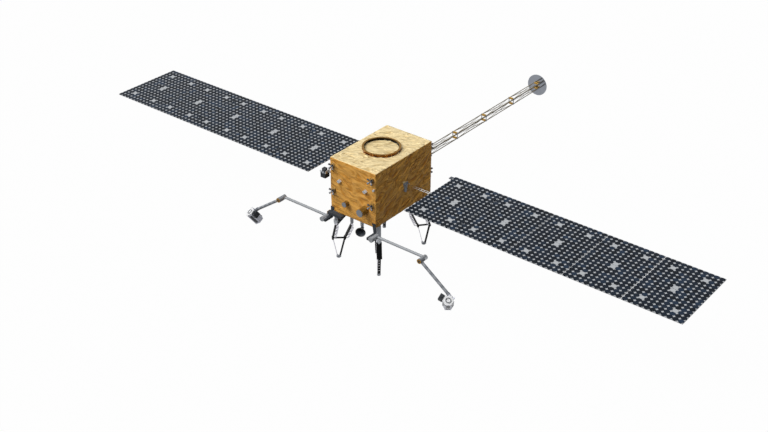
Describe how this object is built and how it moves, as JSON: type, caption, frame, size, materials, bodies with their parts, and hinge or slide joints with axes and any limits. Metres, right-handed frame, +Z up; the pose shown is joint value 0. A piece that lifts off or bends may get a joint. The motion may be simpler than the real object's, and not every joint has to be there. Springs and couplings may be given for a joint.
{
  "type": "robotic servicing spacecraft",
  "caption": "Foil-wrapped box spacecraft with folding solar wings, a lattice mast with a disc, jointed tool arms and truss legs.",
  "frame": {"origin": "centre of the launch adapter ring's top face", "axes": "+X along the right wing, +Y along the mast, +Z up out of the adapter ring"},
  "size_m": [21.652, 10.9917, 3.789],
  "materials": {
    "gold_foil": "crinkled gold film blanket",
    "bronze_ring": "polished bronze-coloured chromate",
    "grey_metal": "satin",
    "dark_metal": "matt black paint",
    "grey_window": "smooth",
    "mast_tube": "composite tube",
    "gold_fitting": "gold chromate",
    "black_composite": "carbon composite",
    "leg_fitting": "satin",
    "white_composite": "white paint on steel tube",
    "solar_panel": "round silicon cells on a pale face sheet",
    "arm_grey": "satin",
    "amber_cap": "film-covered",
    "tool_grey": "satin",
    "tool_white": "white paint"
  },
  "bodies": {
    "bus_structure": {"bus": "gold_foil", "adapter_ring": "bronze_ring", "front_thrusters": "grey_metal", "rear_thrusters": "grey_metal", "sun_sensors": "grey_metal", "sensor_barrels": "gold_foil", "sensor_windows": "grey_window", "horn": "dark_metal", "horn_post": "grey_metal", "side_sensor": "dark_metal", "side_bracket": "grey_metal", "belly_antenna": "dark_metal", "mast_base": "grey_metal", "mast_longerons": "mast_tube", "mast_battens": "gold_fitting", "mast_disc": "grey_window", "drive_housings": "grey_metal", "leg_hips": "dark_metal", "leg_knuckles": "leg_fitting", "leg_upper_struts": "black_composite", "leg_lacing": "leg_fitting", "leg_knees": "leg_fitting", "leg_lower_struts": "black_composite", "leg_feet": "leg_fitting", "foil_covers": "gold_foil", "arm_brackets": "dark_metal", "shoulder_motors": "arm_grey"},
    "right_drive": {"right_drive_head": "grey_metal"},
    "right_wing_yoke": {"right_yoke": "white_composite"},
    "right_wing_panel_1": {"right_panel_1": "solar_panel"},
    "right_wing_panel_2": {"right_panel_2": "solar_panel"},
    "right_wing_panel_3": {"right_panel_3": "solar_panel"},
    "right_wing_panel_4": {"right_panel_4": "solar_panel"},
    "right_wing_panel_5": {"right_panel_5": "solar_panel"},
    "right_upper_arm": {"right_shoulder": "arm_grey", "right_upper_link": "arm_grey", "right_elbow": "arm_grey"},
    "right_lower_arm": {"right_forearm": "arm_grey", "right_elbow_cap": "amber_cap"},
    "right_tool": {"right_tool_body": "tool_grey", "right_tool_plate": "tool_white", "right_tool_camera": "black_composite"},
    "left_drive": {"left_drive_head": "grey_metal"},
    "left_wing_yoke": {"left_yoke": "white_composite"},
    "left_wing_panel_1": {"left_panel_1": "solar_panel"},
    "left_wing_panel_2": {"left_panel_2": "solar_panel"},
    "left_wing_panel_3": {"left_panel_3": "solar_panel"},
    "left_wing_panel_4": {"left_panel_4": "solar_panel"},
    "left_wing_panel_5": {"left_panel_5": "solar_panel"},
    "left_upper_arm": {"left_shoulder": "arm_grey", "left_upper_link": "arm_grey", "left_elbow": "arm_grey"},
    "left_lower_arm": {"left_forearm": "arm_grey", "left_elbow_cap": "amber_cap"},
    "left_tool": {"left_tool_body": "tool_grey", "left_tool_plate": "tool_white", "left_tool_camera": "black_composite"}
  },
  "joints": [
    {"name": "right_drive_turn", "type": "hinge", "parent": "bus_structure", "child": "right_drive", "pos_m": [0, 0, -0.994], "axis": [1, 0, 0], "continuous": true},
    {"name": "right_wing_fold", "type": "hinge", "parent": "right_drive", "child": "right_wing_yoke", "pos_m": [1.04, 0, -0.994], "axis": [0, -1, 0], "range_deg": [0, 90]},
    {"name": "right_panel_1_fold", "type": "hinge", "parent": "right_wing_yoke", "child": "right_wing_panel_1", "pos_m": [1.8825, 0, -1.0185], "axis": [0, 1, 0], "range_deg": [0, 180]},
    {"name": "right_panel_2_fold", "type": "hinge", "parent": "right_wing_panel_1", "child": "right_wing_panel_2", "pos_m": [3.6735, 0, -0.9675], "axis": [0, -1, 0], "range_deg": [0, 180]},
    {"name": "right_panel_3_fold", "type": "hinge", "parent": "right_wing_panel_2", "child": "right_wing_panel_3", "pos_m": [5.4645, 0, -1.0185], "axis": [0, 1, 0], "range_deg": [0, 180]},
    {"name": "right_panel_4_fold", "type": "hinge", "parent": "right_wing_panel_3", "child": "right_wing_panel_4", "pos_m": [7.2555, 0, -0.9675], "axis": [0, -1, 0], "range_deg": [0, 180]},
    {"name": "right_panel_5_fold", "type": "hinge", "parent": "right_wing_panel_4", "child": "right_wing_panel_5", "pos_m": [9.0465, 0, -1.0185], "axis": [0, 1, 0], "range_deg": [0, 180]},
    {"name": "right_shoulder_pitch", "type": "hinge", "parent": "bus_structure", "child": "right_upper_arm", "pos_m": [0.979, -1.492, -2.167], "axis": [0, -1, 0], "range_deg": [-35, 45]},
    {"name": "right_elbow_pitch", "type": "hinge", "parent": "right_upper_arm", "child": "right_lower_arm", "pos_m": [2.812, -1.68, -2.167], "axis": [0, -1, 0], "range_deg": [-90, 120]},
    {"name": "right_wrist_roll", "type": "hinge", "parent": "right_lower_arm", "child": "right_tool", "pos_m": [3.89586, -1.68, -2.94297], "axis": [0.8131, 0, -0.5821], "range_deg": [-175, 175]},
    {"name": "left_drive_turn", "type": "hinge", "parent": "bus_structure", "child": "left_drive", "pos_m": [0, 0, -0.994], "axis": [-1, 0, 0], "continuous": true},
    {"name": "left_wing_fold", "type": "hinge", "parent": "left_drive", "child": "left_wing_yoke", "pos_m": [-1.04, 0, -0.994], "axis": [0, 1, 0], "range_deg": [0, 90]},
    {"name": "left_panel_1_fold", "type": "hinge", "parent": "left_wing_yoke", "child": "left_wing_panel_1", "pos_m": [-1.8825, 0, -1.0185], "axis": [0, -1, 0], "range_deg": [0, 180]},
    {"name": "left_panel_2_fold", "type": "hinge", "parent": "left_wing_panel_1", "child": "left_wing_panel_2", "pos_m": [-3.6735, 0, -0.9675], "axis": [0, 1, 0], "range_deg": [0, 180]},
    {"name": "left_panel_3_fold", "type": "hinge", "parent": "left_wing_panel_2", "child": "left_wing_panel_3", "pos_m": [-5.4645, 0, -1.0185], "axis": [0, -1, 0], "range_deg": [0, 180]},
    {"name": "left_panel_4_fold", "type": "hinge", "parent": "left_wing_panel_3", "child": "left_wing_panel_4", "pos_m": [-7.2555, 0, -0.9675], "axis": [0, 1, 0], "range_deg": [0, 180]},
    {"name": "left_panel_5_fold", "type": "hinge", "parent": "left_wing_panel_4", "child": "left_wing_panel_5", "pos_m": [-9.0465, 0, -1.0185], "axis": [0, -1, 0], "range_deg": [0, 180]},
    {"name": "left_shoulder_pitch", "type": "hinge", "parent": "bus_structure", "child": "left_upper_arm", "pos_m": [-0.979, -1.492, -2.167], "axis": [0, 1, 0], "range_deg": [-35, 45]},
    {"name": "left_elbow_pitch", "type": "hinge", "parent": "left_upper_arm", "child": "left_lower_arm", "pos_m": [-2.812, -1.68, -2.167], "axis": [0, 1, 0], "range_deg": [-90, 120]},
    {"name": "left_wrist_roll", "type": "hinge", "parent": "left_lower_arm", "child": "left_tool", "pos_m": [-3.89586, -1.68, -2.94297], "axis": [-0.8131, 0, -0.5821], "range_deg": [-175, 175]}
  ],
  "couplings": [
    {"joint": "right_panel_1_fold", "follows": "right_wing_fold", "ratio": 2},
    {"joint": "right_panel_2_fold", "follows": "right_wing_fold", "ratio": 2},
    {"joint": "right_panel_3_fold", "follows": "right_wing_fold", "ratio": 2},
    {"joint": "right_panel_4_fold", "follows": "right_wing_fold", "ratio": 2},
    {"joint": "right_panel_5_fold", "follows": "right_wing_fold", "ratio": 2},
    {"joint": "left_panel_1_fold", "follows": "left_wing_fold", "ratio": 2},
    {"joint": "left_panel_2_fold", "follows": "left_wing_fold", "ratio": 2},
    {"joint": "left_panel_3_fold", "follows": "left_wing_fold", "ratio": 2},
    {"joint": "left_panel_4_fold", "follows": "left_wing_fold", "ratio": 2},
    {"joint": "left_panel_5_fold", "follows": "left_wing_fold", "ratio": 2}
  ]
}
